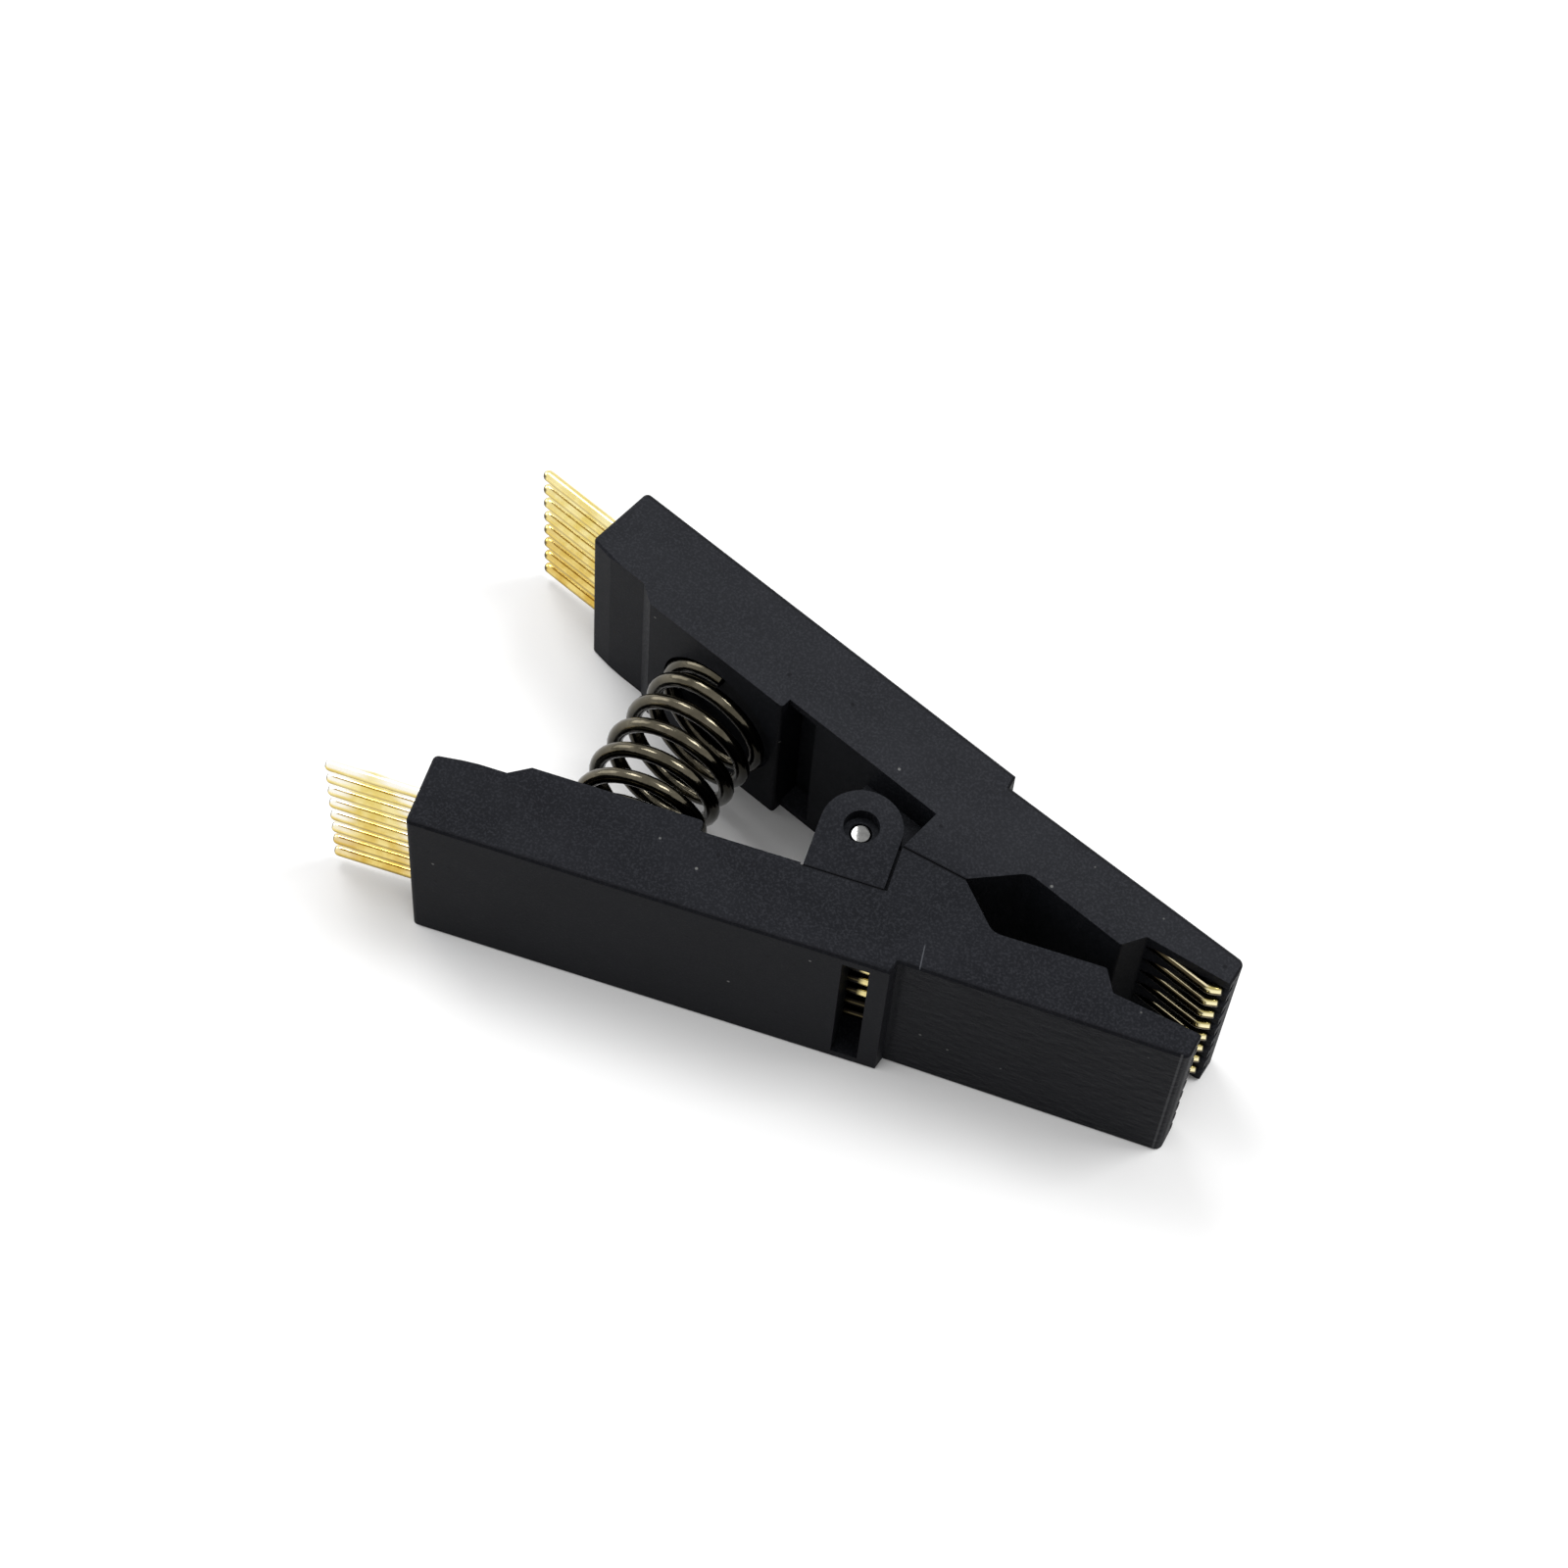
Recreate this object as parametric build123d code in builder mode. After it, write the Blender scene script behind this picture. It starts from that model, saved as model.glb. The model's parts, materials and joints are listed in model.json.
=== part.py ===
# IC test clip for a 16 lead small outline package, lying on its side with the jaws closed.
# Two moulded arms turn on one hinge pin, a coil spring pushes the handles apart, and eight contact
# wires run through each arm from the header end to the nose.
# Millimetres and degrees. X runs from the header to the nose, Y across the arms, Z along the hinge.
# Each arm is drawn in its own plane: s along the arm from the hinge axis to the nose, t outward from it.

import os
from math import cos, pi, radians, sin, tan

from build123d import *

# Contact wires: the row sets the width of the arms
contacts_per_arm = 8
contact_spacing = 1.27
row_margin = 0.725
contact_diameter = 0.56
contact_clearance = 0.02
contact_line = 5.28
contact_sides = 8
header_diameter = 0.64
header_length = 5.25
header_shoulder_gap = 0.1
foot_start = 18.6
foot_length = 0.67
foot_angle = 35.0

# Rest position
lean_angle = 11.75
stop_gap = 0.05

# Handle half of the arm, with the spring pad on its inner face. Distances count from the hinge axis.
tail_length = 21.9
tail_corner_radius = 0.3
outer_face = 7.65
grip_face = 3.2
lead_in_length = 1.45
lead_in_depth = 0.2
pad_face = 2.48
pad_rear = 16.93
pad_front = 7.65
pad_ramp = 1.1
pad_edge_radius = 0.2
recess_face = 3.11

# Relief slot in the recess, in front of the pad
relief_front = 6.05
relief_depth = 1.25
relief_margin = 0.5
relief_lip = 0.3

# Window on the outer face, down to the wires
window_start = 1.4
window_length = 1.45
window_margin = 0.62
window_below_wires = 0.35

# Jaw half of the arm
body_end = 3.87
step_run = 0.2
step_height = 0.73
jaw_flare = 0.31
nose_end = 19.25
nose_corner_radius = 0.45
nose_lip_end = 19.5
nose_tip_face = 5.73
nose_root_face = 4.96
throat_end = 14.71
throat_start = 14.03
throat_radius = 0.2
well_face = 3.7
well_start = 8.05
well_corner_radius = 1.0
stop_end = 5.9
comb_clearance = 0.04

# Edges along the side faces
edge_chamfer = 0.12

# Hinge
lug_radius = 2.15
lug_thickness = 2.2
lug_inset = 0.15
lug_groove_width = 0.12
lug_groove_depth = 0.45
hinge_gap = 0.2
knuckle_end_gap = 0.1
pin_diameter = 1.2
pin_running_clearance = 0.04
pin_recess = 0.9
pin_chamfer = 0.12
lug_hole_diameter = 1.9

# Spring and its seats
seat_distance = 12.0
seat_diameter = 7.6
seat_depth = 0.7
seat_gap = 0.05
seat_clearance = 0.13
coil_wire_diameter = 0.84
coil_wire_sides = 6
coil_turns = 7.0
end_turns = 1.6
end_spacing = 0.75
coil_end_angle = 93.0
points_per_turn = 16

# Worked out from the sizes above
arm_width = (contacts_per_arm - 1) * contact_spacing + contact_diameter + 2 * row_margin
mid_height = arm_width / 2
lean = radians(lean_angle)
contact_radius = contact_diameter / 2
bore_radius = contact_radius + contact_clearance
header_radius = header_diameter / 2
header_end = tail_length + header_length
header_start = tail_length + header_shoulder_gap
jaw_face = outer_face - step_height
stop_start = lug_radius + hinge_gap
coil_diameter = seat_diameter - coil_wire_diameter - 2 * seat_clearance
foot_slope = radians(foot_angle)
foot_end_s = foot_start + foot_length * cos(foot_slope)
foot_end_t = contact_line + foot_length * sin(foot_slope)

# The hinge stands where the clip's box is centred on X = 0, between the header tips and the nose.
rear_reach = header_end * cos(lean) - (contact_line - header_radius) * sin(lean)
nose_s = nose_end - nose_corner_radius
nose_t = jaw_face + jaw_flare - nose_corner_radius
foot_reach = foot_end_s * cos(lean) + foot_end_t * sin(lean) + contact_radius * sin(foot_slope - lean)
lip_reach = nose_lip_end * cos(lean) + nose_tip_face * sin(lean)
front_reach = max(nose_s * cos(lean) + nose_t * sin(lean) + nose_corner_radius, lip_reach, foot_reach)
hinge_x = (rear_reach - front_reach) / 2

# The two arms share one outline: the near arm's plane faces down, which turns t to the other side.
near_plane = Plane(
    origin=(hinge_x, 0, mid_height), x_dir=(cos(lean), sin(lean), 0), z_dir=(0, 0, -1)
)
far_plane = Plane(
    origin=(hinge_x, 0, mid_height), x_dir=(cos(lean), -sin(lean), 0), z_dir=(0, 0, 1)
)


def stop_point(s):
    """Point of the stop face, which lies on the clip's mid-plane when the jaws are closed."""
    return (s, s * tan(lean) + stop_gap / 2 / cos(lean))


def contact_offsets():
    """Places of the wires across the arm, counted from the middle of its width."""
    middle = (contacts_per_arm - 1) / 2
    return [(index - middle) * contact_spacing for index in range(contacts_per_arm)]


def arm_outline(plane):
    """Outline of an arm seen along the hinge, with the radius of each corner."""
    corners = [
        ((-tail_length, outer_face), tail_corner_radius),
        ((body_end, outer_face), 0),
        ((body_end + step_run, jaw_face), 0),
        ((nose_end, jaw_face + jaw_flare), nose_corner_radius),
        ((nose_lip_end, nose_tip_face), 0),
        ((throat_end, nose_root_face), throat_radius),
        ((throat_start, well_face), throat_radius),
        ((well_start, well_face), well_corner_radius),
        (stop_point(stop_end), 0),
        (stop_point(stop_start), 0),
        ((stop_start, recess_face), 0),
        ((-pad_front, recess_face), 0),
        ((-pad_front, pad_face), pad_edge_radius),
        ((-pad_rear, pad_face), 0),
        ((-pad_rear - pad_ramp, grip_face), 0),
        ((lead_in_length - tail_length, grip_face), 0),
        ((-tail_length, grip_face + lead_in_depth), tail_corner_radius),
    ]
    with BuildSketch(plane) as outline:
        with BuildLine():
            FilletPolyline(
                *[point for point, _ in corners],
                radius=[corner_radius for _, corner_radius in corners],
                close=True,
            )
        make_face()
    return outline.sketch


def box_outline(plane, s_low, s_high, t_low, t_high):
    """Rectangle between two distances along the arm and two across it."""
    with BuildSketch(plane) as box:
        with Locations((s_low, t_low)):
            Rectangle(s_high - s_low, t_high - t_low, align=(Align.MIN, Align.MIN))
    return box.sketch


def lug_outline(plane):
    """Round-ended ear about the hinge axis, reaching back into the arm."""
    with BuildSketch(plane) as ear:
        Circle(lug_radius)
        with Locations((0, outer_face / 4)):
            Rectangle(2 * lug_radius, outer_face / 2)
    return ear.sketch


def disc(plane, diameter):
    """Round profile on the hinge axis or a spring seat."""
    with BuildSketch(plane) as circle:
        Circle(diameter / 2)
    return circle.sketch


def relief_outline(plane):
    """Slot profile whose front lip is rounded over into the recess."""
    mouth = recess_face - relief_lip
    floor = recess_face + relief_depth
    lip_end = relief_lip - relief_front
    with BuildSketch(plane) as slot:
        with BuildLine():
            Line((-pad_front, mouth), (-pad_front, floor))
            Line((-pad_front, floor), (-relief_front, floor))
            Line((-relief_front, floor), (-relief_front, recess_face + relief_lip))
            RadiusArc((-relief_front, recess_face + relief_lip), (lip_end, recess_face), relief_lip)
            Line((lip_end, recess_face), (lip_end, mouth))
            Line((lip_end, mouth), (-pad_front, mouth))
        make_face()
    return slot.sketch


def comb_outline(plane):
    """Notch in the nose for one hooked wire, with a floor that follows the wire's foot."""
    reach = nose_lip_end + contact_diameter
    heel = foot_start - contact_diameter
    gap = contact_radius + comb_clearance
    bend = foot_start - gap * tan(foot_slope / 2)
    rise = (reach - bend) * tan(foot_slope)
    with BuildSketch(plane) as notch:
        with BuildLine():
            Polyline(
                (heel, pad_face),
                (reach, pad_face),
                (reach, contact_line + gap + rise),
                (bend, contact_line + gap),
                (heel, contact_line + gap),
                close=True,
            )
        make_face()
    return notch.sketch


def header_plane(plane, distance):
    """Plane across the arm at a distance behind the hinge, facing the nose, centred on the wires."""
    start = plane.from_local_coords(Vector(-distance, contact_line, 0))
    return Plane(origin=start, x_dir=plane.z_dir, z_dir=plane.x_dir)


def seat_plane(plane):
    """Plane of the spring pad, facing into the arm."""
    center = plane.from_local_coords(Vector(-seat_distance, pad_face, 0))
    return Plane(origin=center, x_dir=plane.x_dir, z_dir=plane.y_dir)


def bore_profiles(plane):
    """One many-sided hole for each wire, across the arm."""
    with BuildSketch(header_plane(plane, header_end)) as bores:
        with GridLocations(contact_spacing, 0, contacts_per_arm, 1):
            RegularPolygon(bore_radius, contact_sides, major_radius=False)
    return bores.sketch


def long_edges(part, plane):
    """Edges between the side faces and the outer face, the jaw and the header end."""
    chosen = []
    for edge in part.edges():
        local = [plane.to_local_coords(edge @ place) for place in (0, 0.5, 1)]
        on_side = all(abs(abs(point.Z) - mid_height) < 0.001 for point in local)
        on_tail = all(abs(point.X + tail_length) < tail_corner_radius + 0.001 for point in local)
        if on_side and (on_tail or all(point.Y > nose_tip_face for point in local)):
            chosen.append(edge)
    return chosen


def make_blank(plane):
    """Moulded arm before its hinge is added."""
    window_floor = contact_line - contact_radius - window_below_wires
    window_end = window_start + window_length
    with BuildPart() as blank:
        extrude(arm_outline(plane), amount=mid_height, both=True)
        chamfer(long_edges(blank, plane), edge_chamfer)
        extrude(relief_outline(plane), amount=mid_height - relief_margin, both=True, mode=Mode.SUBTRACT)
        extrude(
            box_outline(plane, window_start, window_end, window_floor, 2 * outer_face),
            amount=mid_height - window_margin,
            both=True,
            mode=Mode.SUBTRACT,
        )
        extrude(disc(seat_plane(plane), seat_diameter), amount=seat_depth, mode=Mode.SUBTRACT)
        extrude(bore_profiles(plane), amount=header_end + nose_lip_end, mode=Mode.SUBTRACT)
        for offset in contact_offsets():
            extrude(
                comb_outline(plane.offset(offset)),
                amount=contact_radius + comb_clearance,
                both=True,
                mode=Mode.SUBTRACT,
            )
    return blank.part


# Near arm: two lugs with the pin pressed into them, each sunk a little below the side face.
# A fine groove marks out each lug's root, and a filled gap its side towards the nose.
lug_outer = mid_height - lug_inset
lug_inner = mid_height - lug_thickness
groove_floor = mid_height - lug_groove_depth
with BuildPart() as near_arm:
    add(make_blank(near_plane))
    for way in (-1, 1):
        lug_plane = near_plane.offset(way * (lug_outer + lug_inner) / 2)
        extrude(lug_outline(lug_plane), amount=(lug_outer - lug_inner) / 2, both=True)
        web_plane = near_plane.offset(way * (groove_floor + lug_inner) / 2)
        extrude(
            box_outline(web_plane, 0, stop_start, stop_point(stop_start)[1], outer_face / 2),
            amount=(groove_floor - lug_inner) / 2,
            both=True,
        )
        extrude(
            box_outline(
                near_plane.offset(way * mid_height),
                -lug_radius - lug_groove_width,
                stop_start,
                recess_face,
                recess_face + lug_groove_width,
            ),
            amount=-way * lug_groove_depth,
            mode=Mode.SUBTRACT,
        )
        extrude(
            disc(near_plane.offset(way * mid_height), lug_hole_diameter),
            amount=-way * pin_recess,
            mode=Mode.SUBTRACT,
        )
    extrude(disc(near_plane, pin_diameter), amount=mid_height, both=True, mode=Mode.SUBTRACT)
near_arm.part.label = "near_arm"

# Far arm: one knuckle between the lugs, turning on the pin.
with BuildPart() as far_arm:
    add(make_blank(far_plane))
    extrude(lug_outline(far_plane), amount=lug_inner - knuckle_end_gap, both=True)
    extrude(
        disc(far_plane, pin_diameter + 2 * pin_running_clearance),
        amount=mid_height,
        both=True,
        mode=Mode.SUBTRACT,
    )
far_arm.part.label = "far_arm"

# Hinge pin, its ends sunk in the lugs.
with BuildPart() as hinge_pin:
    extrude(disc(near_plane, pin_diameter), amount=mid_height - pin_recess, both=True)
    chamfer(hinge_pin.edges().filter_by(GeomType.CIRCLE), pin_chamfer)
hinge_pin.part.label = "hinge_pin"

# Spring: the seats lean apart, so the coil's axis is an arc about the line where their floors meet.
seat_floor = pad_face + seat_depth
meet_x = hinge_x + seat_floor / sin(lean)
axis_radius = seat_floor / tan(lean) + seat_distance
coil_radius = coil_diameter / 2
swing_limit = lean - (coil_wire_diameter / 2 + seat_gap) / (axis_radius - coil_radius)
axis_length = 2 * axis_radius * swing_limit
coil_spacing = (axis_length - end_spacing * end_turns) / (coil_turns - end_turns)


def coil_advance(turn):
    """Distance along the bowed axis. The turns open out from one seat and close up at the other."""
    start = min(turn, end_turns)
    finish = max(0, turn - (coil_turns - end_turns))
    closing = start - start**2 / (2 * end_turns) + finish**2 / (2 * end_turns)
    return coil_spacing * turn - (coil_spacing - end_spacing) * closing


def coil_point(turn):
    """Point on the wire's centre line, counted in turns from the near arm's seat."""
    swing = coil_advance(turn) / axis_radius - swing_limit
    around = radians(coil_end_angle) + 2 * pi * (turn - coil_turns)
    reach = axis_radius + coil_radius * cos(around)
    return (
        meet_x - reach * cos(swing),
        reach * sin(swing),
        mid_height + coil_radius * sin(around),
    )


point_count = round(coil_turns * points_per_turn) + 1
coil_points = [coil_point(coil_turns * index / (point_count - 1)) for index in range(point_count)]
with BuildPart() as spring:
    with BuildLine() as coil:
        Spline(*coil_points)
    with BuildSketch(Plane(origin=coil.line @ 0, z_dir=coil.line % 0)):
        RegularPolygon(coil_wire_diameter / 2, coil_wire_sides)
    sweep(is_frenet=True)
spring.part.label = "spring"


def make_contact(plane, offset):
    """Round header pin, drawn down to a wire that ends in a foot hooked over the nose."""
    tip = header_plane(plane.offset(offset), header_end)
    with BuildPart() as wire:
        extrude(disc(tip, header_diameter), amount=header_end - header_start)
        with BuildLine(plane.offset(offset)) as route:
            Polyline((-header_start, contact_line), (foot_start, contact_line), (foot_end_s, foot_end_t))
        with BuildSketch(Plane(origin=route.line @ 0, x_dir=plane.z_dir, z_dir=plane.x_dir)):
            RegularPolygon(contact_radius, contact_sides, major_radius=False)
        sweep(transition=Transition.RIGHT)
    return wire.part


os.makedirs("parts", exist_ok=True)
for piece in (near_arm, far_arm, hinge_pin, spring):
    export_step(piece.part, f"parts/{piece.part.label}.step")

# The wires are counted as the package's leads are: down the near arm and up the far one.
for arm, plane in (("near", near_plane), ("far", far_plane)):
    for number, offset in enumerate(contact_offsets(), start=1):
        contact = make_contact(plane, offset)
        contact.label = f"{arm}_contact_{number}"
        export_step(contact, f"parts/{contact.label}.step")
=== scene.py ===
import json
from math import cos, pi, radians, sin, tan

import bpy
from mathutils import Matrix, Vector


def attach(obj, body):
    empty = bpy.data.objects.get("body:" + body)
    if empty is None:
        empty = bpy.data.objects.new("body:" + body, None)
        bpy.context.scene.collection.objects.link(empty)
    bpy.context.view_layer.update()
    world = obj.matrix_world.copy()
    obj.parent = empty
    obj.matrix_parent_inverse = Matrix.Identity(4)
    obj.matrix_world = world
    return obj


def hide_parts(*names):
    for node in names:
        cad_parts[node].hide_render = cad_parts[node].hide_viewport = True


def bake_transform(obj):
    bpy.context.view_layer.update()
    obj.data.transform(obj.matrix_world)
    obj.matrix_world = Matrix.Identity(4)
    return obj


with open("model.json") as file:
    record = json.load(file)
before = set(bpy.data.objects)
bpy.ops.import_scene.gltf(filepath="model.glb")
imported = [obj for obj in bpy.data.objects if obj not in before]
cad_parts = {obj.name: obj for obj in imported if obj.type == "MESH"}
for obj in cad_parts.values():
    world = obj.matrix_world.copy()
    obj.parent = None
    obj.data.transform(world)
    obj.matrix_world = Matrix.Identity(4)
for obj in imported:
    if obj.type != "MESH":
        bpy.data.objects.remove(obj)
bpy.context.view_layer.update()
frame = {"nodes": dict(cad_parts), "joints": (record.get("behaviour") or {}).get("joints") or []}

nodes = frame["nodes"]
MM = 0.001

# Sizes repeated from the solids, in millimetres. An arm's own directions are s, from the hinge to the
# nose, and t, outward from the hinge.
WIDTH = 10.9
LEAN = radians(11.75)
HINGE_X = frame["joints"][0]["pos_m"][0] / MM
OUTER_FACE = 7.65
BODY_END = 3.87
JAW_FACE = 6.92
JAW_FLARE = 0.0204
NOSE_END = 19.25
ROOT_GROOVE = 3.17
LUG_RADIUS = 2.15
CONTACTS = 8
CONTACT_LINE = 5.28
SPACING = 1.27
WIRE_RADIUS = 0.28
HEADER_RADIUS = 0.32
HEADER_START = -22.0
HEADER_END = -27.15
FOOT_START = 18.6
FOOT_LENGTH = 0.67
FOOT_ANGLE = radians(35.0)
FOOT_BEND = 0.7
SEAT_FLOOR = 3.18
SEAT_DISTANCE = 12.0
SEAT_GAP = 0.05
COIL_WIRE = 0.84
COIL_RADIUS = 3.25
COIL_TURNS = 7.0
COIL_END_TURNS = 1.6
COIL_END_SPACING = 0.75
COIL_END_ANGLE = radians(93.0)

# Fineness of the skins
WIRE_SIDES = 20
FOOT_STEPS = 6
COIL_SIDES = 16
COIL_STEPS = 36

# Wear and painted highlights, by their place on an arm
SCRATCH = 4.49
SCRATCH_SLANT = 0.103
NOSE_HIGHLIGHT_LINE = NOSE_END - 0.38
GLARE_WAIST = -24.5

DEEP_BLACK = (0.003, 0.003, 0.004, 1)

scene = bpy.context.scene
scene.view_settings.view_transform = "Standard"


# Shader nodes

def make(tree, kind, inputs=None, **settings):
    """New node with its settings and inputs. An input is a value or another node's output."""
    node = tree.nodes.new(kind)
    for key, value in settings.items():
        setattr(node, key, value)
    for key, value in (inputs or {}).items():
        if isinstance(value, bpy.types.NodeSocket):
            tree.links.new(value, node.inputs[key])
        else:
            node.inputs[key].default_value = value
    return node


def maths(tree, operation, first, second=0.0, third=0.0):
    """Output of a math node."""
    inputs = {0: first, 1: second, 2: third}
    return make(tree, "ShaderNodeMath", inputs, operation=operation).outputs[0]


def multiply(tree, first, *others):
    """Product of two or more values."""
    for other in others:
        first = maths(tree, "MULTIPLY", first, other)
    return first


def span(tree, value, low, high, to_low=0.0, to_high=1.0):
    """Value mapped from one range to another, smoothly, and held at its ends."""
    inputs = {"Value": value, "From Min": low, "From Max": high, "To Min": to_low, "To Max": to_high}
    return make(tree, "ShaderNodeMapRange", inputs, interpolation_type="SMOOTHSTEP").outputs[0]


def stripe(tree, value, centre, outer, inner):
    """1 where the value is within inner of the centre, falling to 0 at outer."""
    return span(tree, maths(tree, "ABSOLUTE", maths(tree, "SUBTRACT", value, centre)), outer, inner)


def split(tree, vector):
    """The three numbers of a vector."""
    return make(tree, "ShaderNodeSeparateXYZ", {0: vector}).outputs


def join(tree, x, y, z):
    """Vector of three numbers."""
    return make(tree, "ShaderNodeCombineXYZ", {0: x, 1: y, 2: z}).outputs[0]


def coordinates(tree, kind):
    return make(tree, "ShaderNodeTexCoord").outputs[kind]


def noise(tree, vector, scale, detail=3.0, roughness=0.55, distortion=0.0):
    inputs = {"Vector": vector, "Scale": scale, "Detail": detail}
    inputs.update({"Roughness": roughness, "Distortion": distortion})
    return make(tree, "ShaderNodeTexNoise", inputs).outputs["Fac"]


def cells(tree, vector, scale, feature="F1"):
    return make(tree, "ShaderNodeTexVoronoi", {"Vector": vector, "Scale": scale}, feature=feature).outputs


def dots(tree, vector, scale, channel, share, outer, inner):
    """Round dots in some of the cells: one channel of a cell's colour over the share picks it."""
    found = cells(tree, vector, scale)
    draw = make(tree, "ShaderNodeSeparateColor", {0: found["Color"]}).outputs[channel]
    return multiply(tree, span(tree, found["Distance"], outer, inner), maths(tree, "GREATER_THAN", draw, share))


def blend_colour(tree, factor, first, second):
    """First colour at a factor of 0, second at 1."""
    node = make(tree, "ShaderNodeMix", data_type="RGBA")
    for socket, value in ((node.inputs[0], factor), (node.inputs[6], first), (node.inputs[7], second)):
        if isinstance(value, bpy.types.NodeSocket):
            tree.links.new(value, socket)
        else:
            socket.default_value = value
    return node.outputs[2]


def bump(tree, height, distance, strength, normal=None):
    inputs = {"Height": height, "Distance": distance, "Strength": strength}
    if normal:
        inputs["Normal"] = normal
    return make(tree, "ShaderNodeBump", inputs).outputs[0]


def seen_directly(tree):
    """1 for what the camera sees, also in a mirror or through glass, and 0 for light that falls on things."""
    path = make(tree, "ShaderNodeLightPath").outputs
    seen = maths(tree, "MAXIMUM", path["Is Camera Ray"], path["Is Glossy Ray"])
    return maths(tree, "MAXIMUM", seen, path["Is Transmission Ray"])


# Materials

def start_material(name, metallic=0.0, specular=0.5):
    """Material with its tree, its shader and the solid's own coordinates in millimetres."""
    material = bpy.data.materials.new(name)
    material.use_nodes = True
    tree = material.node_tree
    shader = tree.nodes["Principled BSDF"]
    shader.inputs["Metallic"].default_value = metallic
    shader.inputs["Specular IOR Level"].default_value = specular
    inputs = {0: coordinates(tree, "Object"), "Scale": 1 / MM}
    place = make(tree, "ShaderNodeVectorMath", inputs, operation="SCALE").outputs[0]
    return material, tree, shader, place


def finish_material(tree, shader, colour, roughness, normal):
    tree.links.new(colour, shader.inputs["Base Color"])
    tree.links.new(roughness, shader.inputs["Roughness"])
    tree.links.new(normal, shader.inputs["Normal"])


def arm_axes(tree, place):
    """s, t and the plain coordinates of a point, how far its face looks outward, and its direction."""
    axes = split(tree, place)
    facing = split(tree, coordinates(tree, "Normal"))
    side = maths(tree, "SIGN", axes[1])
    across = maths(tree, "ABSOLUTE", axes[1])
    along = maths(tree, "SUBTRACT", axes[0], HINGE_X)
    s = maths(tree, "MULTIPLY_ADD", along, cos(LEAN), multiply(tree, across, -sin(LEAN)))
    t = maths(tree, "MULTIPLY_ADD", along, sin(LEAN), multiply(tree, across, cos(LEAN)))
    outward = multiply(tree, facing[1], side, cos(LEAN))
    outward = maths(tree, "MULTIPLY_ADD", facing[0], sin(LEAN), outward)
    return s, t, axes, outward, facing


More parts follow.
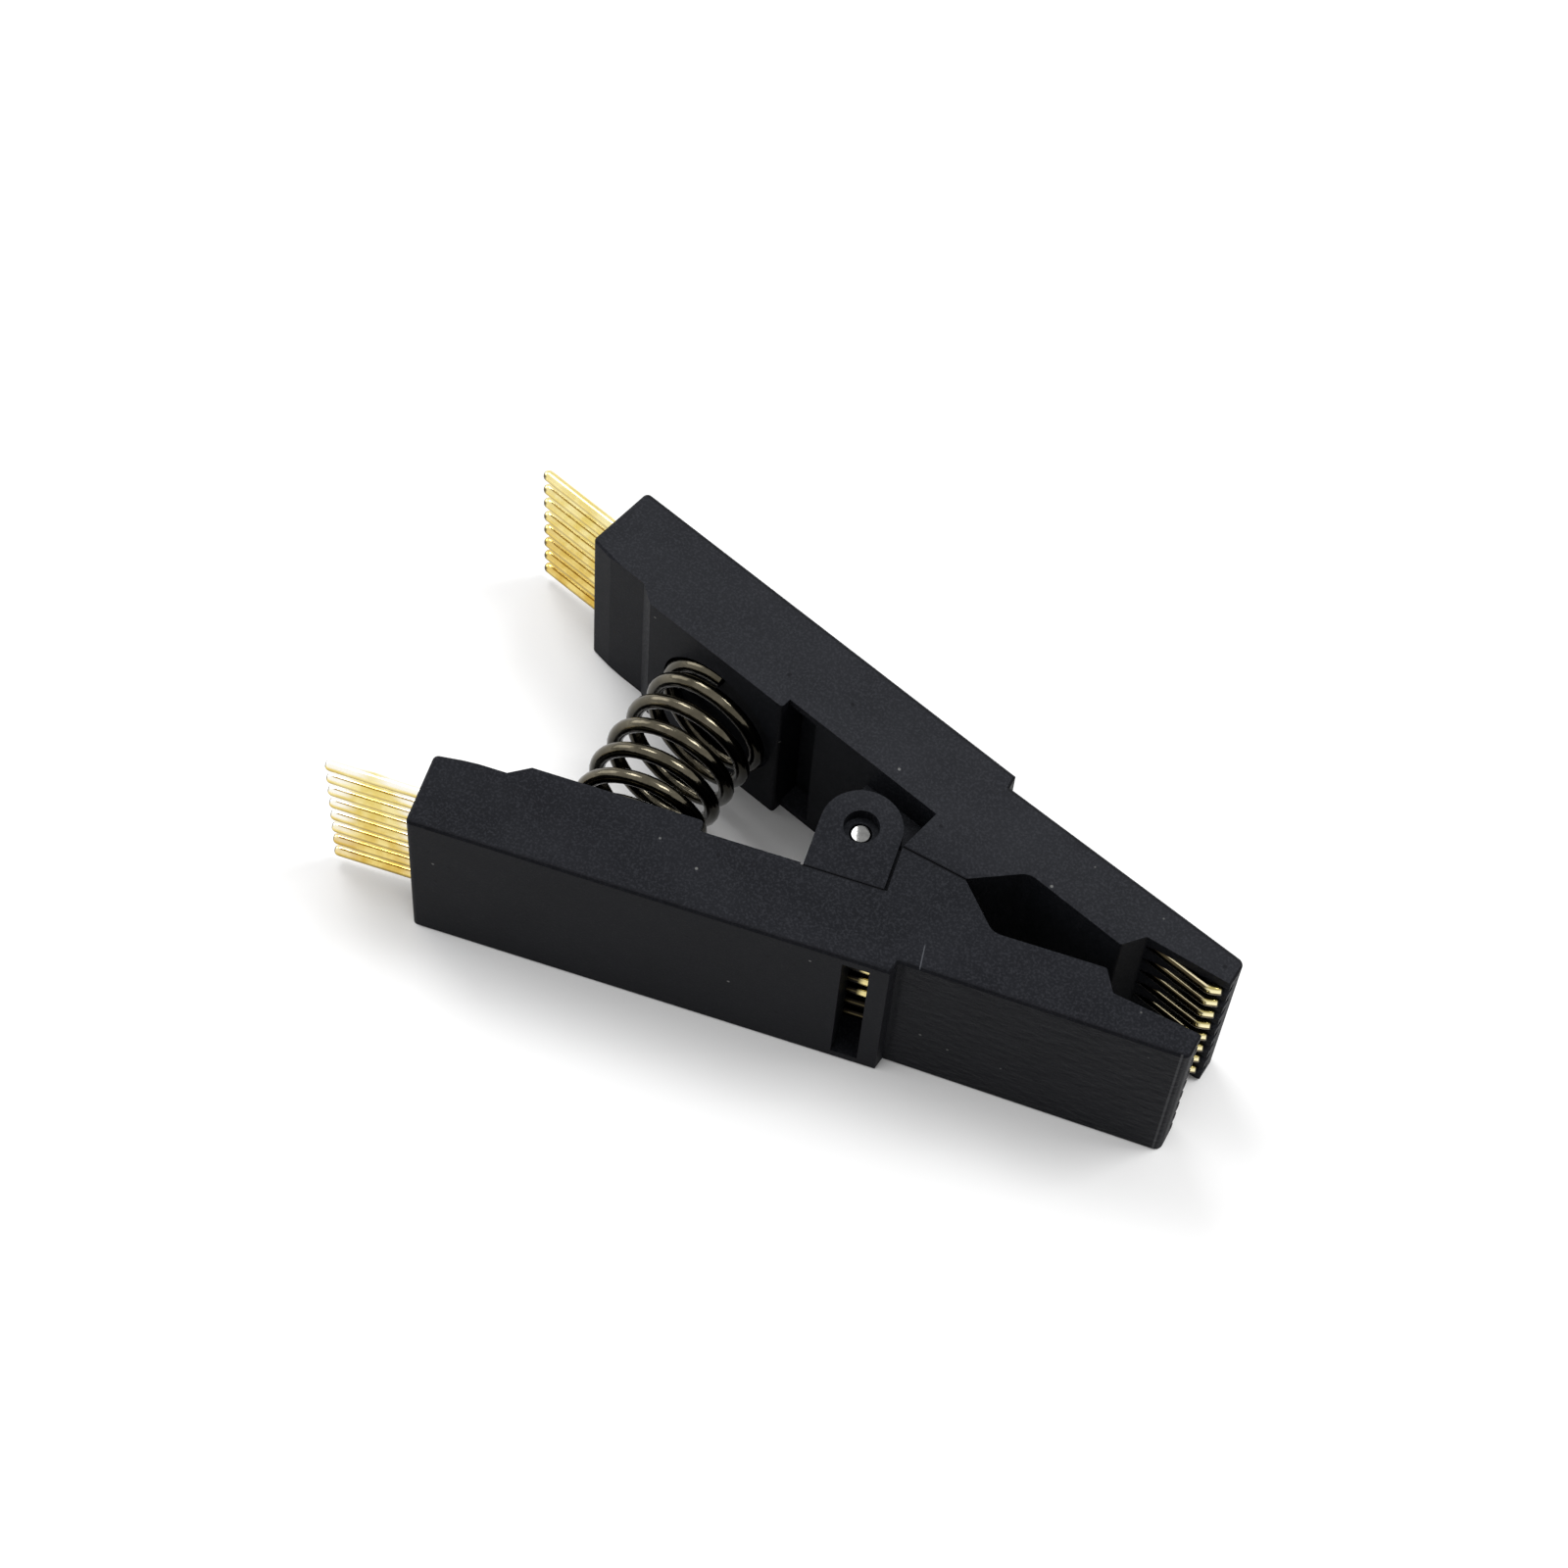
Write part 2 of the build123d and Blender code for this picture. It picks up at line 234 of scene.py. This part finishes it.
def arm_plastic():
    """Black moulded plastic: fine spark grain, dusty specks and pits, a leather grain on the outside of the
    jaw, and painted light: painted shade on outer and nose-facing faces, edges and creases, a greyer far top
    and a painted highlight on the nose.
    """
    material, tree, shader, place = start_material("black_plastic", specular=0.05)
    s, t, axes, outward, facing = arm_axes(tree, place)
    height = axes[2]
    below_top = maths(tree, "SUBTRACT", WIDTH, height)
    near_side = maths(tree, "LESS_THAN", axes[1], 0.0)

    mottle = span(tree, noise(tree, place, 0.35, 4.0), 0.3, 0.7)
    grain = noise(tree, place, 7.5, 2.0, 0.6)
    dark = blend_colour(tree, mottle, (0.0072, 0.0078, 0.0102, 1), (0.0106, 0.0114, 0.0144, 1))
    dark = blend_colour(tree, span(tree, grain, 0.42, 0.72, 0.0, 0.7), dark, (0.0280, 0.0292, 0.0345, 1))

    # Dust and painted light make the far arm's upper face greyer. Painted shade makes outer faces and faces
    # that look towards the nose deeper black.
    dust_and_painted_light = multiply(tree, span(tree, facing[2], 0.6, 0.95), span(tree, axes[1], -1.0, 3.0, 0.0, 0.10))
    dark = blend_colour(tree, dust_and_painted_light, dark, (0.08, 0.083, 0.092, 1))
    dark = blend_colour(tree, span(tree, outward, 0.7, 0.95, 0.0, 0.45), dark, DEEP_BLACK)
    forward = maths(tree, "DIVIDE", facing[0], cos(LEAN))
    forward = maths(tree, "MULTIPLY_ADD", outward, -tan(LEAN), forward)
    dark = blend_colour(tree, span(tree, forward, 0.4, 0.8, 0.0, 0.6), dark, DEEP_BLACK)

    # Painted shade: dark line where the side face meets the outer face
    jaw_edge = maths(tree, "MULTIPLY_ADD", s, JAW_FLARE, JAW_FACE - JAW_FLARE * BODY_END)
    past_step = span(tree, s, BODY_END, BODY_END + 0.2)
    edge = make(tree, "ShaderNodeMix", {0: past_step, 2: OUTER_FACE, 3: jaw_edge}).outputs[0]
    rim = maths(tree, "MAXIMUM", maths(tree, "SUBTRACT", edge, t), 0.0)
    line = multiply(tree, span(tree, rim, 0.30, 0.12), span(tree, below_top, 0.30, 0.12), 0.6)
    dark = blend_colour(tree, line, dark, DEEP_BLACK)

    # Painted shade along the lug's root and the line where the arms meet
    root = stripe(tree, t, ROOT_GROOVE, 0.15, 0.08)
    root = multiply(tree, root, stripe(tree, s, 0.0, LUG_RADIUS + 0.1, LUG_RADIUS), near_side)
    meeting = stripe(tree, axes[1], 0.0, 0.13, 0.06)
    meeting = multiply(tree, meeting, span(tree, s, LUG_RADIUS, LUG_RADIUS + 0.1))
    painted_crease_shade = multiply(tree, maths(tree, "MAXIMUM", root, meeting), span(tree, below_top, 0.7, 0.5), 0.8)
    dark = blend_colour(tree, painted_crease_shade, dark, (0.002, 0.002, 0.003, 1))

    # Scratch across the near jaw, and a painted highlight line on the rounded end of the nose
    slant = maths(tree, "MULTIPLY_ADD", t, -SCRATCH_SLANT, s)
    scratch = multiply(tree, stripe(tree, slant, SCRATCH, 0.045, 0.015), span(tree, t, 5.4, 5.7))
    scratch = multiply(tree, scratch, near_side, span(tree, below_top, 0.1, 0.05), 0.5)
    dark = blend_colour(tree, scratch, dark, (0.12, 0.125, 0.14, 1))
    painted_nose_highlight = multiply(tree, stripe(tree, s, NOSE_HIGHLIGHT_LINE, 0.09, 0.03), span(tree, outward, 0.3, 0.6), 0.5)
    dark = blend_colour(tree, painted_nose_highlight, dark, (0.10, 0.10, 0.105, 1))

    pits = multiply(tree, dots(tree, place, 0.8, 1, 0.6, 0.13, 0.06), 0.55)
    dark = blend_colour(tree, pits, dark, DEEP_BLACK)
    specks = multiply(tree, dots(tree, place, 0.7, 0, 0.7, 0.075, 0.035), 0.45)
    dark = blend_colour(tree, specks, dark, (0.28, 0.28, 0.27, 1))

    stretched = join(tree, multiply(tree, s, 0.45), t, height)
    leather = cells(tree, stretched, 2.4, "SMOOTH_F1")["Distance"]
    wrinkle = noise(tree, stretched, 2.2, 3.0, 0.6, 1.4)
    on_jaw = multiply(tree, span(tree, s, BODY_END + 0.3, BODY_END + 0.7), span(tree, outward, 0.7, 0.95))
    rough_jaw = multiply(tree, maths(tree, "ADD", leather, wrinkle), on_jaw)
    normal = bump(tree, grain, 0.02 * MM, 0.35)
    normal = bump(tree, rough_jaw, 0.10 * MM, 0.6, normal)
    finish_material(tree, shader, dark, span(tree, grain, 0.3, 0.7, 0.46, 0.62), normal)
    return material


def contact_gold():
    """Gold plating with painted light: bright header pins with painted highlights, a painted glare and painted
    shade underneath, window and jaw wires darkened by painted shade with painted highlight lines, bright feet,
    bare at the cut ends.
    """
    material, tree, shader, place = start_material("gold_plating", metallic=1.0)
    s, t, axes, outward, facing = arm_axes(tree, place)
    height = axes[2]
    upward = facing[2]
    patches = span(tree, noise(tree, place, 0.8, 3.0), 0.35, 0.7)
    streaks = noise(tree, join(tree, multiply(tree, s, 0.12), t, height), 9.0, 2.0)

    # Header pins: painted highlights on the upper ones, a painted glare at the near arm's pin ends, painted
    # shade underneath
    pale = blend_colour(tree, patches, (0.80, 0.63, 0.18, 1), (0.93, 0.82, 0.40, 1))
    rich = blend_colour(tree, patches, (0.66, 0.43, 0.08, 1), (0.88, 0.70, 0.24, 1))
    pale = blend_colour(tree, span(tree, height, 1.0, 8.0), rich, pale)
    from_waist = maths(tree, "ABSOLUTE", maths(tree, "SUBTRACT", s, GLARE_WAIST))
    from_waist = maths(tree, "ADD", from_waist, span(tree, height, 8.7, 9.6, 0.0, 1.1))
    ends = multiply(tree, span(tree, from_waist, 0.9, 2.1), span(tree, height, 2.5, 5.0, 0.3, 1.0))
    ends = multiply(tree, ends, span(tree, upward, 0.35, 0.75), span(tree, axes[1], 1.0, -1.0, 0.1, 1.0))
    pale = blend_colour(tree, ends, pale, (1.0, 0.97, 0.87, 1))
    tint = blend_colour(tree, span(tree, upward, -0.4, 0.7), (0.36, 0.25, 0.06, 1), pale)

    # Window: painted shade darkens the wires, a painted highlight brightens the upper ones at the front, and a
    # painted highlight line lies on the lower ones
    painted_window_highlight = multiply(tree, span(tree, s, 1.9, 2.3), span(tree, height, 2.7, 3.2))
    thin = stripe(tree, upward, 0.6, 0.16, 0.05)
    painted_window_shade = blend_colour(tree, thin, (0.010, 0.008, 0.006, 1), (0.055, 0.045, 0.022, 1))
    window = blend_colour(tree, painted_window_highlight, painted_window_shade, (0.78, 0.66, 0.30, 1))
    tint = blend_colour(tree, span(tree, s, -18.0, -4.0), tint, window)

    # Jaw: painted shade makes the wires dark brown, with a painted highlight line along the top and deeper
    # painted shade in the throat
    painted_jaw_shading = blend_colour(tree, patches, (0.040, 0.031, 0.017, 1), (0.080, 0.062, 0.032, 1))
    ridge = maths(tree, "MULTIPLY_ADD", outward, -0.2, multiply(tree, upward, 0.98))
    painted_jaw_shading = blend_colour(tree, span(tree, ridge, 0.965, 0.99), painted_jaw_shading, (0.76, 0.67, 0.44, 1))
    painted_jaw_shading = blend_colour(tree, span(tree, s, 15.2, 16.3), (0.012, 0.010, 0.007, 1), painted_jaw_shading)
    tint = blend_colour(tree, span(tree, s, 4.0, 6.0), tint, painted_jaw_shading)

    # Feet: a painted highlight on faces that look half up, olive on top, painted shade on faces that look
    # sideways and down
    foot = blend_colour(tree, span(tree, upward, 0.72, 0.92), (0.95, 0.86, 0.52, 1), (0.42, 0.35, 0.13, 1))
    foot = blend_colour(tree, span(tree, upward, 0.45, 0.20), foot, (0.10, 0.075, 0.035, 1))
    tint = blend_colour(tree, span(tree, s, FOOT_START - 0.2, FOOT_START + 0.1), tint, foot)

    # Dark cut ends, and a darker lower side just behind the tips of the far arm's header pins
    dark_ends = multiply(tree, span(tree, s, HEADER_END + 0.36, HEADER_END + 0.20), span(tree, axes[1], 0.0, 1.0))
    dark_ends = multiply(tree, dark_ends, span(tree, upward, 0.85, 0.55))
    dark_ends = maths(tree, "MAXIMUM", dark_ends, span(tree, s, HEADER_END + 0.09, HEADER_END + 0.02))
    tint = blend_colour(tree, dark_ends, tint, (0.10, 0.08, 0.04, 1))
    along_foot = maths(tree, "MULTIPLY_ADD", s, cos(FOOT_ANGLE), multiply(tree, t, sin(FOOT_ANGLE)))
    foot_end = FOOT_START * cos(FOOT_ANGLE) + CONTACT_LINE * sin(FOOT_ANGLE) + FOOT_LENGTH
    sheared = span(tree, along_foot, foot_end - 0.08, foot_end - 0.03)
    tint = blend_colour(tree, sheared, tint, (0.05, 0.045, 0.03, 1))

    roughness = span(tree, streaks, 0.3, 0.75, 0.14, 0.30)
    finish_material(tree, shader, tint, roughness, bump(tree, streaks, 0.01 * MM, 0.2))
    return material


def pin_steel():
    """Drawn steel with a slightly domed, uneven end."""
    material, tree, shader, place = start_material("pin_steel", metallic=1.0)
    patches = noise(tree, place, 2.5, 3.0)
    fine = noise(tree, place, 18.0, 2.0)
    even = span(tree, patches, 0.3, 0.7)
    grey = blend_colour(tree, even, (0.17, 0.17, 0.168, 1), (0.24, 0.24, 0.235, 1))
    axes = split(tree, place)
    from_axis = maths(tree, "SUBTRACT", axes[0], HINGE_X)
    across = maths(tree, "MULTIPLY_ADD", from_axis, 0.906, multiply(tree, axes[1], 0.422))
    normal = bump(tree, multiply(tree, across, across, -0.22), MM, 1.0)
    normal = bump(tree, patches, 0.02 * MM, 0.3, normal)
    finish_material(tree, shader, grey, span(tree, fine, 0.3, 0.7, 0.10, 0.18), normal)
    return material


def spring_steel():
    """Dark spring wire with a warm oiled tint, fine mottling and painted shade on its underside."""
    material, tree, shader, place = start_material("spring_steel", metallic=1.0)
    patches = span(tree, noise(tree, place, 0.9, 4.0), 0.3, 0.7)
    fine = noise(tree, place, 12.0, 2.0)
    tint = blend_colour(tree, patches, (0.066, 0.059, 0.042, 1), (0.122, 0.109, 0.080, 1))
    upward = split(tree, coordinates(tree, "Normal"))[2]
    # Painted shade: faces that look down are darker
    tint = blend_colour(tree, span(tree, upward, -0.2, 0.8), (0.022, 0.020, 0.015, 1), tint)
    roughness = span(tree, fine, 0.3, 0.7, 0.08, 0.17)
    finish_material(tree, shader, tint, roughness, bump(tree, fine, 0.01 * MM, 0.3))
    return material


def dress(obj, material):
    obj.data.materials.clear()
    obj.data.materials.append(material)


# Round wires

def with_ends(values):
    """Values with the first and the last one twice, for the flat ends of a tube."""
    return [values[0]] + values + [values[-1]]


def tube(name, rings, sides, material):
    """Round skin with flat ends over rings, each a centre, two directions across the wire and a radius."""
    points, faces = [], []
    for center, first, second, radius in with_ends(rings):
        for index in range(sides):
            angle = 2 * pi * index / sides
            points.append((center + radius * (cos(angle) * first + sin(angle) * second)) * MM)
    for ring in range(1, len(rings)):
        start = ring * sides
        for index in range(sides):
            after = (index + 1) % sides
            faces.append((start + index, start + after, start + sides + after, start + sides + index))
    last = (len(rings) + 1) * sides
    faces.append(tuple(range(sides))[::-1])
    faces.append(tuple(range(last, last + sides)))
    mesh = bpy.data.meshes.new(name)
    mesh.from_pydata(points, [], faces)
    mesh.shade_smooth()
    mesh.materials.append(material)
    obj = bpy.data.objects.new(name, mesh)
    scene.collection.objects.link(obj)
    return obj


def wire_route():
    """Contact's centre line: s, t, angle and radius from the rounded header tip to the end of the foot."""
    tip = ((0.0, 0.17), (0.03, 0.21), (0.09, 0.265), (0.18, 0.305), (0.28, HEADER_RADIUS), (0.4, HEADER_RADIUS))
    shoulder = ((-0.02, HEADER_RADIUS), (0.0, HEADER_RADIUS), (0.0, WIRE_RADIUS), (0.02, WIRE_RADIUS))
    route = [(HEADER_END + ahead, CONTACT_LINE, 0.0, radius) for ahead, radius in tip]
    route += [(HEADER_START + ahead, CONTACT_LINE, 0.0, radius) for ahead, radius in shoulder]
    bend_start = FOOT_START - FOOT_BEND * tan(FOOT_ANGLE / 2)
    for step in range(FOOT_STEPS + 1):
        angle = FOOT_ANGLE * step / FOOT_STEPS
        s = bend_start + FOOT_BEND * sin(angle)
        t = CONTACT_LINE + FOOT_BEND * (1 - cos(angle))
        route.append((s, t, angle, WIRE_RADIUS))
    for back, radius in ((0.04, WIRE_RADIUS), (0.0, WIRE_RADIUS - 0.03)):
        s = FOOT_START + (FOOT_LENGTH - back) * cos(FOOT_ANGLE)
        t = CONTACT_LINE + (FOOT_LENGTH - back) * sin(FOOT_ANGLE)
        route.append((s, t, FOOT_ANGLE, radius))
    return route


def contact_wire(arm, number, material):
    side = -1 if arm == "near" else 1
    height = WIDTH / 2 + side * (number - (CONTACTS + 1) / 2) * SPACING
    along = Vector((cos(LEAN), -side * sin(LEAN), 0))
    out = Vector((sin(LEAN), side * cos(LEAN), 0))
    up = Vector((0, 0, 1))
    rings = []
    for s, t, angle, radius in wire_route():
        center = Vector((HINGE_X, 0, height)) + s * along + t * out
        rings.append((center, side * (cos(angle) * out - sin(angle) * along), up, radius))
    obj = tube(f"{arm}_wire_{number}", rings, WIRE_SIDES, material)
    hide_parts(f"{arm}_contact_{number}")
    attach(obj, f"{arm}_side")


def coil_spring(material):
    """Bowed coil with closed ends. Each ring's share of the coil's give is worked out, but nothing uses it."""
    meet_x = HINGE_X + SEAT_FLOOR / sin(LEAN)
    axis_radius = SEAT_FLOOR / tan(LEAN) + SEAT_DISTANCE
    limit = LEAN - (COIL_WIRE / 2 + SEAT_GAP) / (axis_radius - COIL_RADIUS)
    open_length = 2 * axis_radius * limit - COIL_END_SPACING * COIL_END_TURNS
    spacing = open_length / (COIL_TURNS - COIL_END_TURNS)
    steps = round(COIL_TURNS * COIL_STEPS)
    advance, give = 0.0, 0.0
    rings, shares = [], []
    for step in range(steps + 1):
        turn = COIL_TURNS * step / steps
        swing = advance / axis_radius - limit
        around = COIL_END_ANGLE + 2 * pi * (turn - COIL_TURNS)
        outward = Vector((-cos(swing), sin(swing), 0))
        forward = Vector((sin(swing), cos(swing), 0))
        radial = cos(around) * outward + Vector((0, 0, sin(around)))
        center = Vector((meet_x, 0, WIDTH / 2)) + axis_radius * outward + COIL_RADIUS * radial
        rings.append((center, radial, forward, COIL_WIRE / 2))
        shares.append(give)
        middle = turn + COIL_TURNS / steps / 2
        opening = min(1.0, min(middle, COIL_TURNS - middle) / COIL_END_TURNS)
        rate = COIL_END_SPACING + (spacing - COIL_END_SPACING) * opening
        advance += rate * COIL_TURNS / steps
        give += max(0.0, rate - COIL_WIRE)
    obj = tube("coil_spring", rings, COIL_SIDES, material)
    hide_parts("spring")
    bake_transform(obj)


plastic = arm_plastic()
gold = contact_gold()
steel = spring_steel()
for name, obj in nodes.items():
    if name.endswith("_arm"):
        dress(obj, plastic)
    elif "_contact_" in name:
        dress(obj, gold)
dress(nodes["hinge_pin"], pin_steel())
dress(nodes["spring"], steel)
for number in range(1, CONTACTS + 1):
    contact_wire("near", number, gold)
    contact_wire("far", number, gold)
coil_spring(steel)


# Floor, light and camera

def floor():
    """Pale floor, lifted to white where it is open, so that it keeps the shadow under and beside the clip; the
    lift fades where the clip closes in, as painted shade.
    """
    bpy.ops.mesh.primitive_plane_add(size=2.0, location=(0, 0, -0.02 * MM))
    ground = bpy.context.object
    ground.name = "floor"
    material = bpy.data.materials.new("floor")
    material.use_nodes = True
    tree = material.node_tree
    tree.nodes.clear()
    diffuse = make(tree, "ShaderNodeBsdfDiffuse", {"Color": (0.76, 0.76, 0.76, 1)})
    open_air = make(tree, "ShaderNodeAmbientOcclusion", {"Distance": 20 * MM}).outputs["AO"]
    place = coordinates(tree, "Object")
    reach = make(tree, "ShaderNodeVectorMath", {0: place}, operation="LENGTH").outputs["Value"]
    # Painted shade: less lift where the clip hides the floor from the open air
    close_by = span(tree, open_air, 0.15, 0.6, 0.0, 0.25)
    far_off = span(tree, reach, 0.1, 0.4, 0.0, 0.75)
    strength = multiply(tree, seen_directly(tree), maths(tree, "ADD", close_by, far_off))
    lift = make(tree, "ShaderNodeEmission", {"Strength": strength})
    both = make(tree, "ShaderNodeAddShader", {0: diffuse.outputs[0], 1: lift.outputs[0]})
    make(tree, "ShaderNodeOutputMaterial", {"Surface": both.outputs[0]})
    ground.data.materials.append(material)


def sky():
    """Light tent: bright overhead and to the rear left, dim towards the nose, and seen as plain white."""
    world = bpy.data.worlds.new("studio")
    scene.world = world
    world.use_nodes = True
    tree = world.node_tree
    tree.nodes.clear()
    way = split(tree, coordinates(tree, "Generated"))
    lean = maths(tree, "MULTIPLY_ADD", way[0], -0.35, way[2])
    lean = maths(tree, "MULTIPLY_ADD", way[1], 0.15, lean)
    glow = span(tree, lean, 0.0, 1.0, 0.05, 0.88)
    strength = make(tree, "ShaderNodeMix", {0: seen_directly(tree), 2: glow, 3: 1.0}).outputs[0]
    back = make(tree, "ShaderNodeBackground", {"Color": (1, 1, 1, 1), "Strength": strength})
    make(tree, "ShaderNodeOutputWorld", {"Surface": back.outputs[0]})


def softbox(name, place, size, watts):
    """Square lamp that looks at the middle of the clip."""
    light = bpy.data.lights.new(name, "AREA")
    light.size = size
    light.energy = watts
    obj = bpy.data.objects.new(name, light)
    scene.collection.objects.link(obj)
    obj.location = place
    obj.rotation_euler = (-Vector(place)).to_track_quat("-Z", "Y").to_euler()


def aim_camera():
    """Camera solved from the arm's edges in the photograph."""
    lens = bpy.data.cameras.new("camera")
    lens.sensor_width = 36.0
    lens.lens = 84.82
    lens.clip_start = 0.01
    camera = bpy.data.objects.new("camera", lens)
    scene.collection.objects.link(camera)
    azimuth, elevation, roll = radians(-24.979), radians(59.468), radians(-5.638)
    look = Vector((cos(elevation) * sin(azimuth), cos(elevation) * cos(azimuth), -sin(elevation)))
    level = Vector((cos(azimuth), -sin(azimuth), 0))
    fall = look.cross(level)
    right = cos(roll) * level + sin(roll) * fall
    down = cos(roll) * fall - sin(roll) * level
    turn = Matrix((right, -down, -look)).transposed()
    spot = Vector((HINGE_X + 35.979, -87.068, 173.807)) * MM
    camera.matrix_world = Matrix.Translation(spot) @ turn.to_4x4()
    scene.camera = camera


floor()
sky()
softbox("right_light", (0.19, 0.14, 0.42), 0.15, 0.90)
softbox("rear_light", (-0.20, 0.12, 0.41), 0.15, 0.60)
softbox("left_light", (-0.38, 0.02, 0.16), 0.22, 0.35)
aim_camera()
